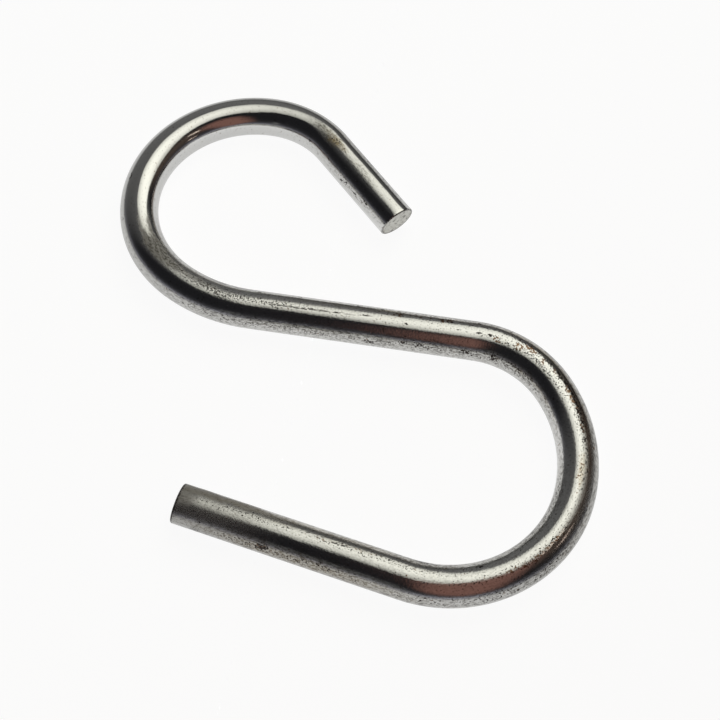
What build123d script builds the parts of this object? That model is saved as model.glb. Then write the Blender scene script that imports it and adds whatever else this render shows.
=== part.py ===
from build123d import *
from math import atan2, cos, degrees, radians, sin
import os

# S hook bent from one length of round zinc-plated steel wire, with both ends sheared.
# It lies flat on its side: the wire rests on Z = 0 all along, and the line that a load pulls
# along, from the crown of one hook to the crown of the other, runs parallel to Y.
# The upper hook, at +Y, is curled in further. The lower hook, at -Y, has the longer tip.
# Lengths are millimetres and angles are degrees. Radii are those of the wire's centreline.

# Wire
WIRE_DIAMETER = 4.0

# Straight run between the two hooks
MIDDLE_RUN = 23.0

# Upper hook, outward from the middle run: lead-in, crown, curl and straight tip
UPPER_LEAD_RADIUS = 16.0
UPPER_LEAD_ANGLE = 30.0
UPPER_CROWN_RADIUS = 11.9
UPPER_CROWN_ANGLE = 150.0
UPPER_CURL_RADIUS = 9.9
UPPER_CURL_ANGLE = 45.5
UPPER_TIP_RUN = 11.8

# Lower hook, outward from the middle run: lead-in, back, crown and straight tip
LOWER_LEAD_RADIUS = 10.6
LOWER_LEAD_ANGLE = 51.5
LOWER_BACK_RADIUS = 15.3
LOWER_BACK_ANGLE = 45.5
LOWER_CROWN_RADIUS = 12.6
LOWER_CROWN_ANGLE = 93.5
LOWER_TIP_RUN = 22.65

# Sheared ends: a positive angle leaves the top of the wire longer than its underside
UPPER_CUT_ANGLE = 8.7
LOWER_CUT_ANGLE = -3.7
CUT_EDGE_RADIUS = 0.15

WIRE_RADIUS = WIRE_DIAMETER / 2
SHEAR_STOCK = WIRE_RADIUS
UP = Vector(0, 0, 1)

UPPER_BENDS = {
    "lead": (UPPER_LEAD_RADIUS, UPPER_LEAD_ANGLE),
    "crown": (UPPER_CROWN_RADIUS, UPPER_CROWN_ANGLE),
    "curl": (UPPER_CURL_RADIUS, UPPER_CURL_ANGLE),
}
LOWER_BENDS = {
    "lead": (LOWER_LEAD_RADIUS, LOWER_LEAD_ANGLE),
    "back": (LOWER_BACK_RADIUS, LOWER_BACK_ANGLE),
    "crown": (LOWER_CROWN_RADIUS, LOWER_CROWN_ANGLE),
}


def bend_arcs(start, heading, bends):
    """Return the arcs of one hook by name, each tangent to the one before, all turning clockwise."""
    arcs = {}
    for name, (radius, angle) in bends.items():
        arcs[name] = JernArc(start, heading, radius, -angle)
        start = arcs[name] @ 1
        heading = arcs[name] % 1
    return arcs


def tip_line(arcs, length):
    """Return a straight line of this length, tangent to the last arc of a hook."""
    last = list(arcs.values())[-1]
    return Line(last @ 1, last @ 1 + last % 1 * length)


def bend_wire(path):
    """Sweep the round section of the wire along its bent centreline."""
    section = Plane(origin=path @ 0, z_dir=path % 0) * Circle(WIRE_RADIUS)
    return sweep(section, path)


def shear_block(tip, angle):
    """Return what the shear takes off beyond a straight tip, its face leaning by this angle."""
    outward = tip % 1 * cos(radians(angle)) - UP * sin(radians(angle))
    cut_plane = Plane(origin=tip @ 1, z_dir=outward)
    return extrude(cut_plane * Rectangle(2 * WIRE_DIAMETER, 2 * WIRE_DIAMETER), 2 * SHEAR_STOCK)


def lay_down(hook, load_line):
    """Turn the load line parallel to Y and set the hook on Z = 0, centred on the origin."""
    load_heading = degrees(atan2(load_line.Y, load_line.X))
    turned = Rot(0, 0, 90 - load_heading) * hook
    box = turned.bounding_box()
    return Pos(-box.center().X, -box.center().Y, -box.min.Z) * turned


def build_s_hook():
    """Bend the wire, shear both ends, ease their edges and lay the hook down."""
    middle = Line((-MIDDLE_RUN / 2, 0), (MIDDLE_RUN / 2, 0))
    upper = bend_arcs(middle @ 0, -(middle % 0), UPPER_BENDS)
    lower = bend_arcs(middle @ 1, middle % 1, LOWER_BENDS)
    upper_stock = tip_line(upper, UPPER_TIP_RUN + SHEAR_STOCK)
    lower_stock = tip_line(lower, LOWER_TIP_RUN + SHEAR_STOCK)
    centreline = Wire([
        upper_stock,
        *reversed(upper.values()),
        middle,
        *lower.values(),
        lower_stock,
    ])
    hook = bend_wire(centreline)
    hook -= shear_block(tip_line(upper, UPPER_TIP_RUN), UPPER_CUT_ANGLE)
    hook -= shear_block(tip_line(lower, LOWER_TIP_RUN), LOWER_CUT_ANGLE)
    cut_edges = hook.faces().filter_by(GeomType.PLANE).edges()
    hook = fillet(cut_edges, CUT_EDGE_RADIUS)
    load_line = upper["crown"].arc_center - lower["crown"].arc_center
    return lay_down(hook, load_line)


os.makedirs("parts", exist_ok=True)
s_hook = build_s_hook()
export_step(s_hook, "parts/s_hook.step")
print("s_hook", s_hook.bounding_box(), "volume", round(s_hook.volume, 2))
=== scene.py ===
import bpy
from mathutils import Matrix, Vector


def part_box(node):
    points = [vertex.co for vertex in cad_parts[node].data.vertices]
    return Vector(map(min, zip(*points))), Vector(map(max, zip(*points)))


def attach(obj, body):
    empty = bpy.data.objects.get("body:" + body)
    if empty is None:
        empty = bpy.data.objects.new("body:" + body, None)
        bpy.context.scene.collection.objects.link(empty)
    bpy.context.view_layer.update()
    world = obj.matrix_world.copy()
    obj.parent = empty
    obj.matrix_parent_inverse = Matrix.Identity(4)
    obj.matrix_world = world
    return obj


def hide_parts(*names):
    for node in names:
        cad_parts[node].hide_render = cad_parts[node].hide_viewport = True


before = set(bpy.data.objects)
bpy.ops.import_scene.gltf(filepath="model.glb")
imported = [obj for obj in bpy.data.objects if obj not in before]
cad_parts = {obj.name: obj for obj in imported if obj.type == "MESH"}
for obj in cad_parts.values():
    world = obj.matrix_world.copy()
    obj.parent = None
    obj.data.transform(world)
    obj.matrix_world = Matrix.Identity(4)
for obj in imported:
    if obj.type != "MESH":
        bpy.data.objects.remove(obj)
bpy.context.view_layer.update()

from math import atan2, ceil, cos, pi, radians, sin, tan

import bpy
from mathutils import Matrix, Vector, noise

# An S hook bent from one length of round zinc-plated steel wire, lying flat on white paper under
# one large soft light. Lengths are millimetres until MM turns them into metres.
MM = 0.001

# The solid that the wire stands for, which is as high as the wire is thick
HOOK_LOW, HOOK_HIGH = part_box("s_hook")
WIRE_RADIUS = (HOOK_HIGH.z - HOOK_LOW.z) / 2 / MM

# The wire as it is drawn and bent, from the upper tip to the lower one: the name of each run, the
# length of a straight, and the radius of a bend's centreline with its turn in degrees, positive
# to the left
WIRE_RUNS = (
    ("upper tip", 11.8, None, 0.0),
    ("upper curl", None, 9.9, 45.5),
    ("upper crown", None, 11.9, 150.0),
    ("upper lead", None, 16.0, 30.0),
    ("middle", 23.0, None, 0.0),
    ("lower lead", None, 10.6, -51.5),
    ("lower back", None, 15.3, -45.5),
    ("lower crown", None, 12.6, -93.5),
    ("lower tip", 22.65, None, 0.0),
)

# How the shear left each end: the lean of its cut, the depth and length over which the blade
# rolled the top of the wire down, and the width of the dark line round it, partly a real burr and
# partly a painted dark reflection on the cut's rounded edge
UPPER_CUT = {"lean": radians(8.7), "roll_depth": 0.02, "roll_length": 0.5, "burr_and_dark_reflection": 0.07}
LOWER_CUT = {"lean": radians(-3.7), "roll_depth": 0.16, "roll_length": 2.6, "burr_and_dark_reflection": 0.2}

# Both ends: the radius of the cut's eased edge, how far into the wire its lean reaches, and the
# depth and size of the torn grain on its face
CUT_EDGE_RADIUS = 0.15
LEAN_REACH = 3.0
TEAR_DEPTH = 0.02
TEAR_SIZE = 0.5

# Fineness of the mesh: the sides of the wire, the steps along it and round the edge of a cut, the
# rings on a cut's face, the gap that closes, and the sharpest turn that is shaded smooth
SIDES = 96
RING_STEP = 0.26
EDGE_STEPS = 4
CUT_FACE_RINGS = 8
MERGE = 0.001 * MM
SMOOTH_TURN = radians(40)

# Material slots of the wire
PLATED = 0
SHEARED = 1

# Straightened wire: each point of the mesh keeps where it lay before the wire was bent, in mm,
# as its station from the upper tip and its distances left of and above the centreline
STRAIGHT_WIRE = "straight_wire"


# The wire's centreline


def lay_out_runs(heading):
    """Return each run with its start, heading and station, the first run at the origin."""
    runs = []
    start = Vector((0.0, 0.0, 0.0))
    station = 0.0
    for name, length, radius, turn in WIRE_RUNS:
        along = Vector((cos(heading), sin(heading), 0.0))
        left = Vector((-along.y, along.x, 0.0))
        run = {"name": name, "start": start, "along": along, "left": left, "station": station}
        if radius is None:
            run["length"] = length
            start = start + along * length
        else:
            run["radius"] = radius
            run["sweep"] = radians(turn)
            run["side"] = 1 if turn > 0 else -1
            run["length"] = radius * abs(run["sweep"])
            run["centre"] = start + left * run["side"] * radius
            start = run["centre"] + Matrix.Rotation(run["sweep"], 3, "Z") @ (start - run["centre"])
            heading += run["sweep"]
        station += run["length"]
        runs.append(run)
    return runs


def lay_load_line_along_y():
    """Return the runs turned so that a line through the centres of both crowns lies along Y."""
    centres = {run["name"]: run.get("centre") for run in lay_out_runs(0.0)}
    load_line = centres["upper crown"] - centres["lower crown"]
    return lay_out_runs(pi / 2 - atan2(load_line.y, load_line.x))


def place_on_run(run, point):
    """Return how far along a run a point lies, and how far left of it."""
    if "centre" not in run:
        offset = point - run["start"]
        return offset.dot(run["along"]), offset.dot(run["left"])
    arm = point - run["centre"]
    first = run["start"] - run["centre"]
    turned = run["side"] * atan2(first.cross(arm).z, first.dot(arm))
    return turned * run["radius"], run["side"] * (run["radius"] - arm.length)


def place_on_wire(runs, point):
    """Return a point's station along the wire and its distances left of and above its centreline."""
    in_plan = Vector((point.x, point.y, 0.0))
    nearest = None
    for run in runs:
        along, left = place_on_run(run, in_plan)
        miss = abs(left) + max(0.0, -along, along - run["length"])
        if nearest is None or miss < nearest[0]:
            nearest = (miss, run["station"] + along, left)
    return Vector((nearest[1], nearest[2], point.z - WIRE_RADIUS))


# The wire's mesh


def start_wire(run):
    """Add the round section of the wire as a ring of edges, where the first run starts."""
    bpy.ops.object.select_all(action="DESELECT")
    bpy.ops.mesh.primitive_circle_add(
        vertices=SIDES,
        radius=WIRE_RADIUS * MM,
        location=(0, 0, WIRE_RADIUS * MM),
        rotation=(0, pi / 2, atan2(run["along"].y, run["along"].x)),
    )
    bpy.ops.object.transform_apply(location=True, rotation=True, scale=True)
    return bpy.context.object


def draw_run(run):
    """Carry the selected ring along one run: a straight is extruded and a bend is spun."""
    steps = ceil(run["length"] / RING_STEP)
    if "centre" in run:
        # Without a window the spin turns the other way
        bpy.ops.mesh.spin(
            steps=steps, angle=-run["sweep"], center=run["centre"] * MM, axis=(0, 0, 1)
        )
        return
    step = run["along"] * (run["length"] / steps * MM)
    for _ in range(steps):
        bpy.ops.mesh.extrude_edges_move(TRANSFORM_OT_translate={"value": step})


def bend_wire(runs):
    """Draw the whole wire from its upper tip to its lower one and close both ends."""
    wire = start_wire(runs[0])
    bpy.ops.object.mode_set(mode="EDIT")
    bpy.ops.mesh.select_all(action="SELECT")
    for run in runs:
        draw_run(run)
    bpy.ops.mesh.select_all(action="SELECT")
    bpy.ops.mesh.remove_doubles(threshold=MERGE)
    bpy.ops.mesh.select_all(action="DESELECT")
    bpy.ops.mesh.select_mode(type="EDGE")
    bpy.ops.mesh.select_non_manifold()
    bpy.ops.mesh.edge_face_add()
    bpy.ops.mesh.select_all(action="SELECT")
    bpy.ops.mesh.normals_make_consistent(inside=False)
    bpy.ops.object.mode_set(mode="OBJECT")
    return wire


def fade(distance, reach):
    """Return 1 at distance 0, falling smoothly to 0 at the reach."""
    share = max(0.0, 1.0 - distance / reach)
    return share * share


def shear_end(mesh, places, end_station, outward, cut):
    """Lean the end of the wire to its cut, and roll its top down as the blade did."""
    for vertex, place in zip(mesh.vertices, places):
        distance = abs(place.x - end_station)
        if distance > LEAN_REACH:
            continue
        height = place.z / WIRE_RADIUS
        lean = tan(cut["lean"]) * place.z * fade(distance, LEAN_REACH)
        roll = cut["roll_depth"] * max(0.0, height) * fade(distance, cut["roll_length"])
        vertex.co += outward * lean * MM
        vertex.co.z -= roll * MM


def is_cut_face(face):
    """Tell whether a face is a whole cut. All others have three or four sides."""
    return len(face.vertices) > 4


def select_cut_faces(wire):
    """Select both cut faces, and nothing else, with the wire in edit mode."""
    bpy.ops.mesh.select_mode(type="FACE")
    bpy.ops.mesh.select_all(action="DESELECT")
    bpy.ops.object.mode_set(mode="OBJECT")
    for face in wire.data.polygons:
        face.select = is_cut_face(face)
    bpy.ops.object.mode_set(mode="EDIT")


def finish_cut_faces(wire):
    """Ease the edge of each cut and divide its face into rings, with a material of their own."""
    bpy.ops.object.mode_set(mode="EDIT")
    select_cut_faces(wire)
    bpy.ops.mesh.region_to_loop()
    bpy.ops.mesh.bevel(
        offset=CUT_EDGE_RADIUS * MM, segments=EDGE_STEPS, affect="EDGES", clamp_overlap=False
    )
    select_cut_faces(wire)
    wire.active_material_index = SHEARED
    bpy.ops.object.material_slot_assign()
    ring_width = (WIRE_RADIUS - CUT_EDGE_RADIUS) / (CUT_FACE_RINGS + 1)
    for _ in range(CUT_FACE_RINGS):
        bpy.ops.mesh.inset(thickness=ring_width * MM)
    bpy.ops.mesh.poke()
    bpy.ops.object.mode_set(mode="OBJECT")


def tear_cut_faces(mesh):
    """Roughen the cut faces, which the shear tears more than it cuts."""
    plated = {i for face in mesh.polygons if face.material_index == PLATED for i in face.vertices}
    torn = {i for face in mesh.polygons if face.material_index == SHEARED for i in face.vertices}
    for index in torn - plated:
        vertex = mesh.vertices[index]
        height = noise.noise(vertex.co / (TEAR_SIZE * MM))
        vertex.co += vertex.normal * height * TEAR_DEPTH * MM


def keep_straight_places(mesh, runs):
    """Keep in the mesh where each of its points lies on the straightened wire."""
    straight = mesh.attributes.new(STRAIGHT_WIRE, "FLOAT_VECTOR", "POINT")
    for vertex, entry in zip(mesh.vertices, straight.data):
        entry.vector = place_on_wire(runs, vertex.co / MM)


def lay_over_solid(mesh):
    """Move the mesh in plan, until the middle of its box lies over the middle of the solid's."""
    points = [vertex.co.xy for vertex in mesh.vertices]
    low = Vector((min(point.x for point in points), min(point.y for point in points)))
    high = Vector((max(point.x for point in points), max(point.y for point in points)))
    shift = (HOOK_LOW + HOOK_HIGH).xy / 2 - (low + high) / 2
    mesh.transform(Matrix.Translation((shift.x, shift.y, 0.0)))


def make_wire():
    """Bend, shear and finish the wire, and lay it where the solid lies."""
    runs = lay_load_line_along_y()
    first, last = runs[0], runs[-1]
    wire_length = last["station"] + last["length"]
    wire = bend_wire(runs)
    mesh = wire.data
    places = [place_on_wire(runs, vertex.co / MM) for vertex in mesh.vertices]
    shear_end(mesh, places, 0.0, -first["along"], UPPER_CUT)
    shear_end(mesh, places, wire_length, last["along"], LOWER_CUT)
    mesh.materials.append(zinc_plated_wire(wire_length))
    mesh.materials.append(sheared_steel())
    finish_cut_faces(wire)
    tear_cut_faces(mesh)
    keep_straight_places(mesh, runs)
    lay_over_solid(mesh)
    bpy.ops.object.select_all(action="DESELECT")
    wire.select_set(True)
    bpy.ops.object.shade_smooth_by_angle(angle=SMOOTH_TURN)
    wire.name = "bent_wire"
    mesh.name = "bent_wire"
    return wire


# Materials


def linear(hex_colour):
    """Turn an sRGB colour such as "D8D8D6" into the linear colour that a shader takes."""
    shares = [int(hex_colour[i:i + 2], 16) / 255 for i in (0, 2, 4)]
    return [s / 12.92 if s <= 0.04045 else ((s + 0.055) / 1.055) ** 2.4 for s in shares] + [1.0]


def empty_tree(owner):
    """Empty the node tree of a material or world, and return it."""
    owner.use_nodes = True
    owner.node_tree.nodes.clear()
    return owner.node_tree


def add(tree, kind, inputs=(), output=0, **settings):
    """Add a node with its settings, feed its inputs with values or sockets, and return one of its
    outputs, if it has any."""
    made = tree.nodes.new(kind)
    for name, value in settings.items():
        setattr(made, name, value)
    for name, value in dict(inputs).items():
        if isinstance(value, bpy.types.NodeSocket):
            tree.links.new(value, made.inputs[name])
        else:
            made.inputs[name].default_value = value
    return made.outputs[output] if made.outputs else None


def layered(tree, base, layers):
    """Return a base colour with other colours over it, each as far as its share covers it."""
    colour = linear(base)
    for share, over in layers:
        # Sockets 6 and 7 of this node take its two colours, and output 2 gives their mix
        colour = add(tree, "ShaderNodeMix", {
            0: share, 6: colour, 7: linear(over),
        }, output=2, data_type="RGBA")
    return colour


# Where the wire is worn. Each patch is a soft oval on its surface: its station in mm from the
# upper tip, its angle from the top of the wire in radians, positive to the left, its reach along
# the wire in mm and round it in radians, and its strength, which it has in full over this share
# of its reach.
PATCH_CORE = 0.2

# The outlines of patches wander by up to half as much as this, in mm along the wire and in
# radians round it, in slow waves of the noise
WANDER_ALONG = 3.0
WANDER_ROUND = 0.5
WANDER_PER_MM = 0.7
WANDER_DETAIL = 3.0

# Plating worn soft, from the first of these stations to the second and everywhere after it, and
# less so in patches on the upper tip
WORN_FROM = 40.0
WORN_TO = 58.0
WORN_PATCHES = (
    (6.0, 0.0, 12.0, 3.5, 0.3),
    (14.0, 1.3, 6.0, 0.8, 0.3),
)

# Plating worn dull, with dark flecks
DULL_PATCHES = (
    (5.0, -0.95, 10.0, 0.6, 0.5),
    (6.0, 1.1, 10.0, 0.7, 0.25),
    (6.5, 0.1, 4.5, 0.35, 0.4),
    (8.0, 0.0, 12.0, 3.0, 0.12),
    (12.0, 0.05, 3.6, 0.38, 0.75),
    (15.0, -0.85, 16.0, 0.5, 0.4),
    (45.4, 0.2, 4.0, 0.5, 0.3),
    (48.2, 0.15, 4.4, 0.55, 1.0),
    (50.0, -1.3, 14.0, 0.8, 0.3),
    (50.0, 1.1, 10.0, 0.8, 0.55),
    (62.0, -1.1, 14.0, 0.35, 0.5),
    (62.0, 1.0, 14.0, 0.8, 0.5),
    (76.0, -1.8, 40.0, 1.0, 0.6),
    (78.0, -1.1, 26.0, 0.5, 0.5),
    (80.0, 1.1, 16.0, 0.6, 0.3),
    (91.0, 0.85, 14.0, 0.5, 0.5),
    (92.0, -1.05, 12.0, 0.5, 0.3),
    (92.0, 1.2, 34.0, 0.85, 0.9),
    (108.0, -1.0, 12.0, 0.6, 0.85),
    (108.0, 1.1, 14.0, 0.9, 0.4),
    (118.0, 1.8, 12.0, 0.6, 0.5),
    (120.0, -0.85, 16.0, 0.45, 0.6),
    (125.0, 0.0, 45.0, 1.2, 0.15),
    (128.0, -1.9, 26.0, 1.0, 0.6),
    (132.0, -0.9, 20.0, 0.5, 0.7),
    (134.0, 1.5, 20.0, 1.2, 1.0),
)

# Thin grey film that hides a part of the metal
TARNISH_PATCHES = (
    (12.5, 0.1, 3.6, 0.4, 0.3),
    (45.4, -0.02, 4.0, 0.16, 0.8),
    (45.4, 0.46, 4.0, 0.16, 0.8),
    (47.8, 0.15, 4.0, 0.55, 0.85),
    (52.5, 0.2, 4.5, 0.3, 0.4),
    (103.0, 0.65, 9.0, 0.25, 0.3),
    (147.0, 0.0, 12.0, 3.5, 0.3),
    (147.5, 0.0, 3.0, 0.6, 0.8),
    (148.0, -0.7, 15.0, 0.46, 1.3),
)

# Yellow-brown stains
STAIN_PATCHES = (
    (11.0, 0.22, 1.6, 0.3, 0.6),
    (11.2, 0.0, 2.4, 0.35, 0.75),
    (75.0, 0.5, 18.0, 0.25, 0.45),
    (90.0, -0.95, 9.0, 0.25, 0.35),
    (93.0, 0.5, 12.0, 0.3, 0.7),
    (102.0, 0.1, 2.2, 0.25, 0.7),
    (134.0, 1.2, 16.0, 0.7, 0.35),
    (135.0, -0.6, 18.0, 0.5, 0.35),
)

# Where pits crowd
PIT_PATCHES = (
    (4.0, 1.15, 7.0, 0.3, 0.4),
    (5.0, -0.8, 9.0, 0.3, 0.35),
    (11.0, 0.0, 2.4, 0.28, 0.7),
    (53.0, 0.15, 8.0, 0.4, 0.6),
    (60.0, -0.1, 11.0, 0.3, 0.6),
    (62.0, -1.2, 20.0, 0.5, 0.3),
    (78.0, 0.7, 18.0, 0.3, 0.45),
    (85.0, -1.3, 16.0, 0.5, 0.4),
    (88.0, -0.18, 9.0, 0.18, 0.64),
    (89.0, -1.0, 9.0, 0.2, 0.5),
    (89.0, 0.3, 12.0, 0.15, 0.64),
    (92.0, 0.1, 12.0, 0.35, 0.4),
    (97.0, 0.3, 9.0, 0.2, 0.65),
    (108.0, -1.1, 9.0, 0.5, 0.35),
    (113.0, 0.2, 14.0, 0.3, 0.45),
    (116.0, 1.2, 14.0, 0.6, 0.4),
    (122.0, -0.9, 5.0, 0.5, 0.5),
    (130.0, -0.22, 16.0, 0.25, 0.4),
    (135.0, 1.2, 11.0, 0.5, 0.5),
    (141.0, -0.1, 6.0, 0.3, 0.36),
)

# Single pits and tight clusters, whose places don't wander
PLACED_PITS = (
    (3.4, 1.0, 0.7, 0.18, 0.85),
    (5.0, 1.2, 0.3, 0.12, 0.8),
    (6.7, 1.15, 0.3, 0.1, 0.85),
    (7.5, 1.3, 0.3, 0.12, 0.9),
    (10.2, 1.0, 0.4, 0.13, 0.9),
    (13.7, 1.05, 0.4, 0.15, 1.0),
    (37.8, -0.64, 0.6, 0.2, 0.85),
    (42.3, -1.0, 0.5, 0.2, 0.77),
    (60.2, 0.6, 0.3, 0.12, 1.3),
    (64.3, 0.68, 0.3, 0.1, 1.2),
    (70.2, 0.66, 0.2, 0.1, 1.2),
    (70.9, 0.0, 0.4, 0.08, 0.85),
    (71.9, -1.44, 0.7, 0.2, 0.85),
    (72.7, 0.62, 0.3, 0.1, 1.2),
    (74.6, 0.3, 0.6, 0.25, 0.77),
    (75.2, -1.15, 0.6, 0.15, 0.85),
    (75.3, -0.15, 0.3, 0.08, 1.3),
    (76.9, -1.15, 0.6, 0.2, 0.85),
    (77.8, 0.06, 0.25, 0.06, 1.2),
    (79.4, 0.35, 1.0, 0.15, 0.63),
    (80.5, -0.08, 0.35, 0.05, 1.3),
    (81.4, -1.2, 0.9, 0.15, 0.85),
    (81.4, -0.12, 0.2, 0.06, 1.2),
    (82.5, 0.56, 0.4, 0.1, 1.4),
    (82.6, -0.08, 0.45, 0.09, 1.6),
    (83.7, -0.06, 0.3, 0.1, 1.6),
    (84.8, -1.15, 0.7, 0.25, 0.85),
    (85.4, 0.62, 0.3, 0.1, 1.2),
    (102.0, 0.05, 0.9, 0.12, 0.63),
    (109.5, 0.15, 0.4, 0.12, 0.63),
    (117.2, -0.5, 0.7, 0.15, 1.02),
    (123.0, -0.95, 1.2, 0.25, 0.77),
    (131.0, -0.22, 0.9, 0.1, 0.68),
    (137.8, 1.15, 0.8, 0.2, 1.02),
    (144.4, 1.55, 0.9, 0.3, 0.77),
)

# Rust
RUST_PATCHES = (
    (74.5, 0.3, 1.0, 0.25, 0.6),
    (76.0, 0.42, 10.0, 0.2, 0.5),
    (79.4, 0.42, 1.8, 0.25, 0.8),
    (84.9, -0.22, 0.6, 0.2, 1.1),
    (86.8, 0.0, 0.8, 0.3, 0.9),
    (87.4, 0.3, 0.8, 0.15, 1.2),
    (87.9, 0.16, 1.0, 0.22, 1.3),
    (89.4, 0.0, 0.8, 0.25, 0.95),
    (91.5, 0.2, 0.9, 0.2, 0.7),
    (94.3, 0.2, 1.8, 0.2, 1.2),
    (97.0, 0.3, 2.0, 0.2, 0.7),
    (102.0, 0.05, 3.0, 0.3, 0.6),
    (112.0, 0.25, 9.0, 0.2, 0.7),
    (130.0, -0.3, 10.0, 0.2, 0.25),
    (137.6, 1.15, 1.2, 0.3, 0.6),
)

# Scratches along the wire, whose places don't wander either
SCRATCH_PATCHES = (
    (57.0, 0.85, 5.0, 0.3, 0.7),
    (64.0, -0.11, 4.0, 0.08, 0.9),
    (67.6, -0.07, 3.6, 0.07, 1.0),
    (71.2, 0.0, 0.9, 0.07, 1.0),
    (112.0, -1.2, 10.0, 0.3, 0.5),
)

# Marks that grow where noise is high: waves of the noise in a mm, its detail, how much a patch of
# strength 1 raises it, and the heights at which a mark starts and is full
PITS = {"per_mm": 6.0, "detail": 2.0, "raise": 0.22, "start": 0.66, "full": 0.76}
RUST_SPECKS = {"per_mm": 4.0, "detail": 3.0, "raise": 0.2, "start": 0.66, "full": 0.74}
WORN_PITS = 0.15

# Marks drawn out along the wire: their grain across it and along it in mm, its detail, and the
# heights at which a mark starts and is full
SCRATCHES = {"across": 0.1, "along": 0.5, "detail": 2.0, "start": 0.45, "full": 0.52}
FLECKS = {"across": 0.15, "along": 0.4, "detail": 5.0, "start": 0.46, "full": 0.6}

# How fully flecks show on worn, dull and tarnished plating
WORN_FLECKS = 0.04
DULL_FLECKS = 0.85
TARNISHED_FLECKS = 0.25

# The dark line round a cut, partly a real burr and partly a painted dark reflection on the cut's
# rounded edge: how much wider it is above than halfway down, in mm for a mm of height, how ragged
# the noise of the pits makes its edge, the heights at which it starts and is full, and how dark it
# is
BURR_AND_REFLECTION_WIDENS = 0.02
BURR_AND_REFLECTION_RAGGED = 0.5
BURR_AND_REFLECTION_START = 0.28
BURR_AND_REFLECTION_FULL = 0.2
BURR_AND_REFLECTION_DARK = 0.85

# Roughness of clean and of worn plating, and what other wear adds to it
CLEAN_ROUGH = 0.1
WORN_ROUGH = 0.14
DULL_ROUGHER = 0.06
TARNISHED_ROUGHER = 0.35
DARK_ROUGHER = 0.12
METAL_UNDER_TARNISH = 0.2

# Relief of the plating in mm: slow waves, draw lines along the wire, and a grain that wear
# deepens. Real draw lines are a few hundredths of a millimetre apart, and these are coarser, to
# show.
WAVES_PER_MM = 0.6
WAVE_DEPTH = 0.012
DRAW_LINES = {"across": 0.16, "along": 3.0, "detail": 2.0}
DRAW_LINE_DEPTH = 0.004
GRAIN_PER_MM = 4.5
CLEAN_GRAIN_DEPTH = 0.001
WORN_GRAIN_DEPTH = 0.009


def station_and_angle(tree, straight):
    """Return a point's station on the wire, and its place on the surface: station and angle."""
    station = add(tree, "ShaderNodeSeparateXYZ", {0: straight}, output="X")
    sides = station.node.outputs
    angle = add(tree, "ShaderNodeMath", {0: sides["Y"], 1: sides["Z"]}, operation="ARCTAN2")
    return station, add(tree, "ShaderNodeCombineXYZ", {0: station, 1: angle})


def wander(tree, straight, place):
    """Return a place on the wire moved a little, so that outlines laid by it wander."""
    moved = add(tree, "ShaderNodeTexNoise", {
        "Vector": straight, "Scale": WANDER_PER_MM, "Detail": WANDER_DETAIL,
    }, output="Color")
    moved = add(tree, "ShaderNodeVectorMath", {
        0: moved, 1: (WANDER_ALONG, WANDER_ROUND, 0.0), 2: place,
    }, operation="MULTIPLY_ADD")
    return add(tree, "ShaderNodeVectorMath", {
        0: moved, 1: (WANDER_ALONG / 2, WANDER_ROUND / 2, 0.0),
    }, operation="SUBTRACT")


def patches(tree, place, spots):
    """Return the summed strength of a list of patches at a place on the wire."""
    total = 0.0
    for station, angle, reach_along, reach_round, strength in spots:
        offset = add(tree, "ShaderNodeVectorMath", {
            0: place, 1: (station, angle, 0.0),
        }, operation="SUBTRACT")
        scaled = add(tree, "ShaderNodeVectorMath", {
            0: offset, 1: (1 / reach_along, 1 / reach_round, 0.0),
        }, operation="MULTIPLY")
        distance = add(tree, "ShaderNodeVectorMath", {0: scaled}, output="Value", operation="LENGTH")
        share = add(tree, "ShaderNodeMapRange", {
            "Value": distance, "From Min": 1.0, "From Max": PATCH_CORE, "To Max": strength,
        }, interpolation_type="SMOOTHSTEP")
        total = add(tree, "ShaderNodeMath", {0: total, 1: share}, operation="ADD")
    return total


def raised_noise(tree, straight, mark, likely):
    """Return the noise that a mark grows out of, raised where the mark is likely."""
    height = add(tree, "ShaderNodeTexNoise", {
        "Vector": straight, "Scale": mark["per_mm"], "Detail": mark["detail"],
    })
    return add(tree, "ShaderNodeMath", {
        0: likely, 1: mark["raise"], 2: height,
    }, operation="MULTIPLY_ADD")


def drawn_noise(tree, straight, grain):
    """Return noise drawn out along the wire."""
    drawn = add(tree, "ShaderNodeMapping", {
        "Vector": straight,
        "Scale": (1 / grain["along"], 1 / grain["across"], 1 / grain["across"]),
    })
    return add(tree, "ShaderNodeTexNoise", {
        "Vector": drawn, "Scale": 1.0, "Detail": grain["detail"],
    })


def burr_and_dark_reflection(tree, straight, pitted, cut, inward, cut_station):
    """Return the share of the broken dark line round a cut: partly the burr the blade turned up, and
    partly a painted dark reflection on the cut's rounded edge.
    """
    from_cut = add(tree, "ShaderNodeVectorMath", {
        0: straight, 1: (inward, 0.0, tan(cut["lean"]) - BURR_AND_REFLECTION_WIDENS),
    }, output="Value", operation="DOT_PRODUCT")
    ragged = add(tree, "ShaderNodeMath", {
        0: pitted, 1: BURR_AND_REFLECTION_RAGGED, 2: from_cut,
    }, operation="MULTIPLY_ADD")
    edge = cut["burr_and_dark_reflection"] + inward * cut_station
    return add(tree, "ShaderNodeMapRange", {
        "Value": ragged,
        "From Min": edge + BURR_AND_REFLECTION_START,
        "From Max": edge + BURR_AND_REFLECTION_FULL,
        "To Max": BURR_AND_REFLECTION_DARK,
    })


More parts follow.
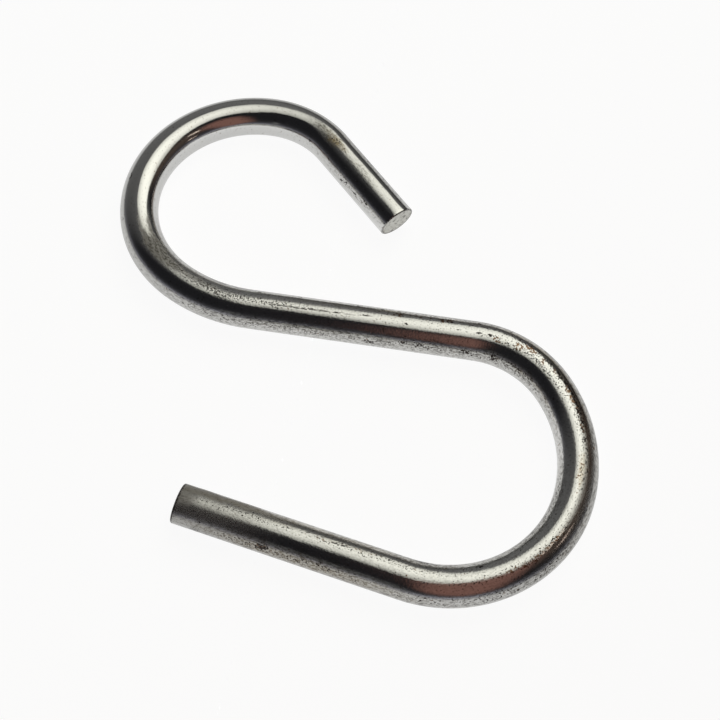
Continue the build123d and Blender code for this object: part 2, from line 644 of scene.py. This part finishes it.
def dark_marks(tree, straight, on_wire, place, wear, wire_length):
    """Return the share of all dark marks: pits of 0.1 to 0.4 mm, scratches, and the dark line round
    both cuts, which is partly burr and partly painted dark reflection.
    """
    likely = add(tree, "ShaderNodeMath", {
        0: patches(tree, place, PIT_PATCHES), 1: patches(tree, on_wire, PLACED_PITS),
    }, operation="ADD")
    likely = add(tree, "ShaderNodeMath", {
        0: wear, 1: WORN_PITS, 2: likely,
    }, operation="MULTIPLY_ADD")
    pitted = raised_noise(tree, straight, PITS, likely)
    pits = add(tree, "ShaderNodeMapRange", {
        "Value": pitted, "From Min": PITS["start"], "From Max": PITS["full"],
    })
    scratches = add(tree, "ShaderNodeMapRange", {
        "Value": drawn_noise(tree, straight, SCRATCHES),
        "From Min": SCRATCHES["start"],
        "From Max": SCRATCHES["full"],
    })
    scratches = add(tree, "ShaderNodeMath", {
        0: scratches, 1: patches(tree, on_wire, SCRATCH_PATCHES),
    }, operation="MULTIPLY")
    dark = add(tree, "ShaderNodeMath", {0: pits, 1: scratches}, operation="MAXIMUM")
    # The dark line round each cut is partly a real burr and partly a painted dark reflection on its
    # rounded edge
    for cut, inward, cut_station in ((UPPER_CUT, 1, 0.0), (LOWER_CUT, -1, wire_length)):
        line = burr_and_dark_reflection(tree, straight, pitted, cut, inward, cut_station)
        dark = add(tree, "ShaderNodeMath", {0: dark, 1: line}, operation="MAXIMUM")
    return dark


def plating_relief(tree, straight, wear):
    """Return the height of the plating in mm: slow waves, draw lines and grain."""
    waves = add(tree, "ShaderNodeTexNoise", {
        "Vector": straight, "Scale": WAVES_PER_MM, "Detail": 1.0,
    })
    lines = drawn_noise(tree, straight, DRAW_LINES)
    grain = add(tree, "ShaderNodeTexNoise", {
        "Vector": straight, "Scale": GRAIN_PER_MM, "Detail": 2.0,
    })
    grain_depth = add(tree, "ShaderNodeMapRange", {
        "Value": wear, "To Min": CLEAN_GRAIN_DEPTH, "To Max": WORN_GRAIN_DEPTH,
    })
    relief = add(tree, "ShaderNodeMath", {0: grain, 1: grain_depth}, operation="MULTIPLY")
    for height, depth in ((waves, WAVE_DEPTH), (lines, DRAW_LINE_DEPTH)):
        relief = add(tree, "ShaderNodeMath", {
            0: height, 1: depth, 2: relief,
        }, operation="MULTIPLY_ADD")
    return relief


def zinc_plated_wire(wire_length):
    """Bright zinc plating on drawn steel wire: a glossy grey metal with a clear reflection, fine
    lines along the wire, and, away from the upper hook, a dull grain, dark pits and rust."""
    material = bpy.data.materials.new("zinc_plated_wire")
    tree = empty_tree(material)
    straight = add(tree, "ShaderNodeAttribute", attribute_name=STRAIGHT_WIRE, output="Vector")
    station, on_wire = station_and_angle(tree, straight)
    place = wander(tree, straight, on_wire)

    wear = add(tree, "ShaderNodeMapRange", {
        "Value": station, "From Min": WORN_FROM, "From Max": WORN_TO,
    }, interpolation_type="SMOOTHSTEP")
    wear = add(tree, "ShaderNodeMath", {
        0: wear, 1: patches(tree, place, WORN_PATCHES),
    }, operation="ADD", use_clamp=True)
    dull = add(tree, "ShaderNodeClamp", {0: patches(tree, place, DULL_PATCHES)})
    tarnished = add(tree, "ShaderNodeClamp", {0: patches(tree, place, TARNISH_PATCHES)})
    dark = dark_marks(tree, straight, on_wire, place, wear, wire_length)

    # Flecks where the plating is worn thin, and stains in the same grain
    flecked = drawn_noise(tree, straight, FLECKS)
    flecks = add(tree, "ShaderNodeMapRange", {
        "Value": flecked, "From Min": FLECKS["start"], "From Max": FLECKS["full"],
    })
    fleck_share = add(tree, "ShaderNodeMath", {
        0: tarnished, 1: TARNISHED_FLECKS,
    }, operation="MULTIPLY")
    for share, shown in ((dull, DULL_FLECKS), (wear, WORN_FLECKS)):
        fleck_share = add(tree, "ShaderNodeMath", {
            0: share, 1: shown, 2: fleck_share,
        }, operation="MULTIPLY_ADD")
    flecks = add(tree, "ShaderNodeMath", {0: flecks, 1: fleck_share}, operation="MULTIPLY")
    stained = add(tree, "ShaderNodeMath", {
        0: patches(tree, place, STAIN_PATCHES), 1: flecked,
    }, operation="MULTIPLY", use_clamp=True)

    # Rust in specks of 0.1 to 0.5 mm
    rusty = add(tree, "ShaderNodeMapRange", {
        "Value": raised_noise(tree, straight, RUST_SPECKS, patches(tree, place, RUST_PATCHES)),
        "From Min": RUST_SPECKS["start"],
        "From Max": RUST_SPECKS["full"],
    })
    colour = layered(tree, "D8D8D6", (
        (dull, "B4B3AF"),
        (tarnished, "A3A29D"),
        (flecks, "64625D"),
        (stained, "A39067"),
        (dark, "302A27"),
        (rusty, "7A6350"),
    ))

    # Gloss is clear on the upper hook and softer where the plating is worn
    rough = add(tree, "ShaderNodeMapRange", {
        "Value": wear, "To Min": CLEAN_ROUGH, "To Max": WORN_ROUGH,
    })
    for share, rougher in (
        (dull, DULL_ROUGHER), (tarnished, TARNISHED_ROUGHER), (dark, DARK_ROUGHER),
    ):
        rough = add(tree, "ShaderNodeMath", {
            0: share, 1: rougher, 2: rough,
        }, operation="MULTIPLY_ADD")

    # Tarnish is a dull film that hides a part of the metal
    metal = add(tree, "ShaderNodeMapRange", {
        "Value": tarnished, "To Min": 1.0, "To Max": METAL_UNDER_TARNISH,
    })
    bump = add(tree, "ShaderNodeBump", {
        "Height": plating_relief(tree, straight, wear), "Distance": MM, "Strength": 1.0,
    })
    surface = add(tree, "ShaderNodeBsdfPrincipled", {
        "Base Color": colour, "Metallic": metal, "Roughness": rough, "Normal": bump,
    })
    add(tree, "ShaderNodeOutputMaterial", {"Surface": surface})
    return material


# Torn grain of a cut: its waves in a mm, the noise at which it turns from dark specks through
# grey to bright, and its depth in mm
TORN_PER_MM = 3.0
TORN_SPECKS = (0.41, 0.36)
TORN_BRIGHT = (0.35, 0.65)
TORN_RELIEF = 0.03

# The dull crease round a cut: its middle, left of and above the wire's centreline, and the
# distances from there between which it sets in
CREASE_MIDDLE = (0.0, 0.0, 0.1)
CREASE_FROM = 1.74
CREASE_TO = 1.82


def sheared_steel():
    """Sheared end of the wire: the same grey metal torn dull and grainy, with a few dark specks."""
    material = bpy.data.materials.new("sheared_steel")
    tree = empty_tree(material)
    place = add(tree, "ShaderNodeTexCoord", output="Object")
    place = add(tree, "ShaderNodeMapping", {"Vector": place, "Scale": (1 / MM, 1 / MM, 1 / MM)})
    grain = add(tree, "ShaderNodeTexNoise", {
        "Vector": place, "Scale": TORN_PER_MM, "Detail": 4.0,
    })
    bright, specks = [add(tree, "ShaderNodeMapRange", {
        "Value": grain, "From Min": start, "From Max": full,
    }) for start, full in (TORN_BRIGHT, TORN_SPECKS)]
    straight = add(tree, "ShaderNodeAttribute", attribute_name=STRAIGHT_WIRE, output="Vector")
    on_cut = add(tree, "ShaderNodeVectorMath", {
        0: straight, 1: (0.0, 1.0, 1.0),
    }, operation="MULTIPLY")
    from_middle = add(tree, "ShaderNodeVectorMath", {
        0: on_cut, 1: CREASE_MIDDLE,
    }, output="Value", operation="DISTANCE")
    crease = add(tree, "ShaderNodeMapRange", {
        "Value": from_middle, "From Min": CREASE_FROM, "From Max": CREASE_TO,
    })
    colour = layered(tree, "B9B8B0", (
        (bright, "CFCFC9"),
        (specks, "5A5852"),
        (crease, "8A8882"),
    ))
    relief = add(tree, "ShaderNodeMath", {0: grain, 1: TORN_RELIEF}, operation="MULTIPLY")
    bump = add(tree, "ShaderNodeBump", {"Height": relief, "Distance": MM, "Strength": 1.0})
    surface = add(tree, "ShaderNodeBsdfPrincipled", {
        "Base Color": colour, "Metallic": 1.0, "Roughness": 0.5, "Normal": bump,
    })
    add(tree, "ShaderNodeOutputMaterial", {"Surface": surface})
    return material


# Studio

# Light cards round the hook, in metres and degrees. Each is placed by the direction and distance
# from the hook's middle to its own, and turned by its roll. It faces the hook, leaned by the
# shares of its own two sides given as lean. It is brightest at its core, which lies at the shares
# of its half width and half height given as core_place, and fades to its rim.
CARDS = (
    {
        "name": "main_light",
        "azimuth": 47.7,
        "elevation": 74.1,
        "distance": 0.645,
        "lean": (0.87, -0.35),
        "width": 0.95,
        "height": 0.586,
        "roll": -4.7,
        "corner": 0.152,
        "soft_edge": 0.05,
        "colour": "FFFEF3",
        "core": 1.45,
        "rim": 0.42,
        "core_place": (0.6, -0.05),
    },
    {
        "name": "pale_wall",
        "azimuth": 73.6,
        "elevation": 12.0,
        "distance": 0.6,
        "width": 3.29,
        "height": 0.83,
        "roll": 67.3,
        "corner": 0.41,
        "soft_edge": 1.5,
        "colour": "FFFEFC",
        "core": 0.18,
    },
    {
        "name": "near_warm_card",
        "azimuth": -99.7,
        "elevation": 42.2,
        "distance": 0.097,
        "width": 0.108,
        "height": 0.066,
        "roll": 49.6,
        "corner": 0.03,
        "soft_edge": 0.035,
        "colour": "FFBEAD",
        "core": 0.225,
    },
    {
        "name": "low_warm_card",
        "azimuth": -30.4,
        "elevation": 36.0,
        "distance": 0.12,
        "width": 0.144,
        "height": 0.057,
        "roll": 42.0,
        "corner": 0.028,
        "soft_edge": 0.1,
        "colour": "FFDFC8",
        "core": 0.085,
    },
    {
        "name": "pale_rim",
        "azimuth": -148.5,
        "elevation": 14.95,
        "distance": 0.6,
        "width": 0.225,
        "height": 0.063,
        "roll": 23.9,
        "corner": 0.03,
        "soft_edge": 0.08,
        "colour": "FFFFFF",
        "core": 0.13,
    },
    {
        "name": "upper_glint",
        "azimuth": -49.1,
        "elevation": 49.9,
        "distance": 0.107,
        "width": 0.024,
        "height": 0.005,
        "roll": 68.0,
        "corner": 0.002,
        "soft_edge": 0.003,
        "colour": "FFEBD9",
        "core": 1.6,
    },
    {
        "name": "lower_glint",
        "azimuth": -53.4,
        "elevation": 27.2,
        "distance": 0.096,
        "width": 0.015,
        "height": 0.0032,
        "roll": -107.1,
        "corner": 0.0015,
        "soft_edge": 0.002,
        "colour": "FFE6D6",
        "core": 1.4,
    },
)

# How far from its core a card has the strength of its rim, in halves of its sides
RIM_REACH = 1.8

# The paper: its size in metres, its strength for the camera, and its grey where light falls on it
PAPER_SIZE = 8.0
PAPER_FOR_CAMERA = 0.92
PAPER_UNDER_LIGHT = "6A6A6A"

# The paper as it shines in the metal, a painted pool of light: brightest round this point and dimmer
# this far away
PAPER_SPOT = (7.8 * MM, -7.8 * MM, 0.0)
PAPER_SPOT_REACH = 105 * MM
PAPER_AT_SPOT = 0.9
PAPER_FAR_AWAY = 0.14

# The room: an even dimness, a paler rim along the horizon, and its strength for the camera
SKY_BASE = 0.016
SKY_RIM = 0.3
SKY_RIM_TILT = (-0.28, -0.3, 0.0)
SKY_RIM_HEIGHT = 0.1
SKY_FOR_CAMERA = 0.95


def card_glow(card):
    """Light that fills a rounded card, brightest at its core, and fades out over its soft edge."""
    material = bpy.data.materials.new(card["name"])
    tree = empty_tree(material)
    width, height, corner, soft = (card[key] for key in ("width", "height", "corner", "soft_edge"))
    place = add(tree, "ShaderNodeTexCoord", output="Object")
    folded = add(tree, "ShaderNodeVectorMath", {0: place}, operation="ABSOLUTE")
    beyond = add(tree, "ShaderNodeVectorMath", {
        0: folded, 1: (width / 2 - corner, height / 2 - corner, 0.0),
    }, operation="SUBTRACT")
    outside = add(tree, "ShaderNodeVectorMath", {
        0: beyond, 1: (0.0, 0.0, 0.0),
    }, operation="MAXIMUM")
    distance = add(tree, "ShaderNodeVectorMath", {0: outside}, output="Value", operation="LENGTH")
    share = add(tree, "ShaderNodeMapRange", {
        "Value": distance, "From Min": corner + soft / 2, "From Max": corner - soft / 2,
    }, interpolation_type="SMOOTHSTEP")
    in_halves = add(tree, "ShaderNodeVectorMath", {
        0: place, 1: (2 / width, 2 / height, 0.0),
    }, operation="MULTIPLY")
    from_core = add(tree, "ShaderNodeVectorMath", {
        0: in_halves, 1: (*card.get("core_place", (0.0, 0.0)), 0.0),
    }, output="Value", operation="DISTANCE")
    strength = add(tree, "ShaderNodeMapRange", {
        "Value": from_core,
        "From Max": RIM_REACH,
        "To Min": card["core"],
        "To Max": card.get("rim", card["core"]),
    }, interpolation_type="SMOOTHSTEP")
    light = add(tree, "ShaderNodeEmission", {"Color": linear(card["colour"]), "Strength": strength})
    clear = add(tree, "ShaderNodeBsdfTransparent")
    surface = add(tree, "ShaderNodeMixShader", {0: share, 1: clear, 2: light})
    add(tree, "ShaderNodeOutputMaterial", {"Surface": surface})
    return material


def add_card(card):
    """Stand one light card beside or above the hook."""
    azimuth, elevation = radians(card["azimuth"]), radians(card["elevation"])
    flat = cos(elevation)
    towards = Vector((flat * cos(azimuth), flat * sin(azimuth), sin(elevation)))
    across = Vector((0, 1, 0)).cross(towards).normalized()
    upward = towards.cross(across)
    roll = radians(card["roll"])
    side = across * cos(roll) + upward * sin(roll)
    lean_across, lean_upward = card.get("lean", (0.0, 0.0))
    facing = (towards + across * lean_across + upward * lean_upward).normalized()
    side = (side - facing * side.dot(facing)).normalized()
    turned = Matrix((side, facing.cross(side), facing)).transposed()
    width = card["width"] + card["soft_edge"]
    height = card["height"] + card["soft_edge"]
    bpy.ops.object.select_all(action="DESELECT")
    bpy.ops.mesh.primitive_plane_add(size=1.0)
    plane = bpy.context.object
    plane.name = card["name"]
    plane.data.transform(Matrix.Diagonal((width, height, 1.0, 1.0)))
    plane.matrix_world = Matrix.Translation(towards * card["distance"]) @ turned.to_4x4()
    plane.data.materials.append(card_glow(card))
    plane.visible_camera = False


def white_paper():
    """White paper: white to the camera, with a painted pool of light where it shows in the metal,
    and dull where the light falls on it, so that it keeps the hook's soft shadow."""
    material = bpy.data.materials.new("white_paper")
    tree = empty_tree(material)
    seen = add(tree, "ShaderNodeLightPath", output="Is Camera Ray")
    rays = seen.node.outputs
    seen = add(tree, "ShaderNodeMath", {0: seen, 1: PAPER_FOR_CAMERA}, operation="MULTIPLY")
    in_metal = add(tree, "ShaderNodeMath", {
        0: rays["Is Glossy Ray"], 1: rays["Is Transmission Ray"],
    }, operation="ADD")
    # A painted pool of light on the paper, which only the metal sees
    place = add(tree, "ShaderNodeTexCoord", output="Object")
    from_spot = add(tree, "ShaderNodeVectorMath", {
        0: place, 1: PAPER_SPOT,
    }, output="Value", operation="DISTANCE")
    shine = add(tree, "ShaderNodeMapRange", {
        "Value": from_spot,
        "From Max": PAPER_SPOT_REACH,
        "To Min": PAPER_AT_SPOT,
        "To Max": PAPER_FAR_AWAY,
    }, interpolation_type="SMOOTHSTEP")
    strength = add(tree, "ShaderNodeMath", {
        0: in_metal, 1: shine, 2: seen,
    }, operation="MULTIPLY_ADD")
    glow = add(tree, "ShaderNodeEmission", {"Color": linear("FFFFFF"), "Strength": strength})
    dull = add(tree, "ShaderNodeBsdfDiffuse", {"Color": linear(PAPER_UNDER_LIGHT)})
    surface = add(tree, "ShaderNodeAddShader", {0: glow, 1: dull})
    add(tree, "ShaderNodeOutputMaterial", {"Surface": surface})
    return material


def add_paper():
    """Lay the paper under the hook."""
    bpy.ops.object.select_all(action="DESELECT")
    bpy.ops.mesh.primitive_plane_add(size=PAPER_SIZE)
    paper = bpy.context.object
    paper.name = "paper"
    paper.data.materials.append(white_paper())


def add_sky():
    """Dim room round the hook, paler towards the horizon, and white behind it for the camera."""
    world = bpy.data.worlds.new("room")
    bpy.context.scene.world = world
    tree = empty_tree(world)
    towards = add(tree, "ShaderNodeTexCoord", output="Generated")
    height = add(tree, "ShaderNodeSeparateXYZ", {0: towards}, output="Z")
    falling = add(tree, "ShaderNodeMath", {0: height, 1: -1 / SKY_RIM_HEIGHT}, operation="MULTIPLY")
    falling = add(tree, "ShaderNodeMath", {0: falling}, operation="EXPONENT")
    tilt = add(tree, "ShaderNodeVectorMath", {
        0: towards, 1: SKY_RIM_TILT,
    }, output="Value", operation="DOT_PRODUCT")
    rim = add(tree, "ShaderNodeMath", {0: tilt, 1: SKY_RIM}, operation="ADD")
    dim = add(tree, "ShaderNodeMath", {0: rim, 1: falling, 2: SKY_BASE}, operation="MULTIPLY_ADD")
    seen = add(tree, "ShaderNodeLightPath", output="Is Camera Ray")
    room = add(tree, "ShaderNodeBackground", {"Color": linear("F3F2FF"), "Strength": dim})
    white = add(tree, "ShaderNodeBackground", {
        "Color": linear("FFFFFF"), "Strength": SKY_FOR_CAMERA,
    })
    surface = add(tree, "ShaderNodeMixShader", {0: seen, 1: room, 2: white})
    add(tree, "ShaderNodeOutputWorld", {"Surface": surface})


# Camera

CAMERA_EYE = Vector((-38.195, -65.245, 136.677)) * MM
CAMERA_AIM = Vector((4.135, -3.494, 2.0)) * MM
CAMERA_ROLL = radians(1.16)
CAMERA_LENS = 77.27
NEAREST_SEEN = 0.01
FARTHEST_SEEN = 20.0


def add_camera():
    """Look steeply down on the hook from beyond its lower tip."""
    bpy.ops.object.select_all(action="DESELECT")
    bpy.ops.object.camera_add(location=CAMERA_EYE)
    camera = bpy.context.object
    camera.data.lens = CAMERA_LENS
    camera.data.clip_start = NEAREST_SEEN
    camera.data.clip_end = FARTHEST_SEEN
    level = (CAMERA_AIM - CAMERA_EYE).to_track_quat("-Z", "Y").to_matrix()
    turned = level @ Matrix.Rotation(CAMERA_ROLL, 3, "Z")
    camera.rotation_euler = turned.to_euler()
    bpy.context.scene.camera = camera


wire = make_wire()
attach(wire, "root")
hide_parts("s_hook")

add_paper()
add_sky()
for card in CARDS:
    add_card(card)
add_camera()
bpy.context.scene.view_settings.view_transform = "Standard"
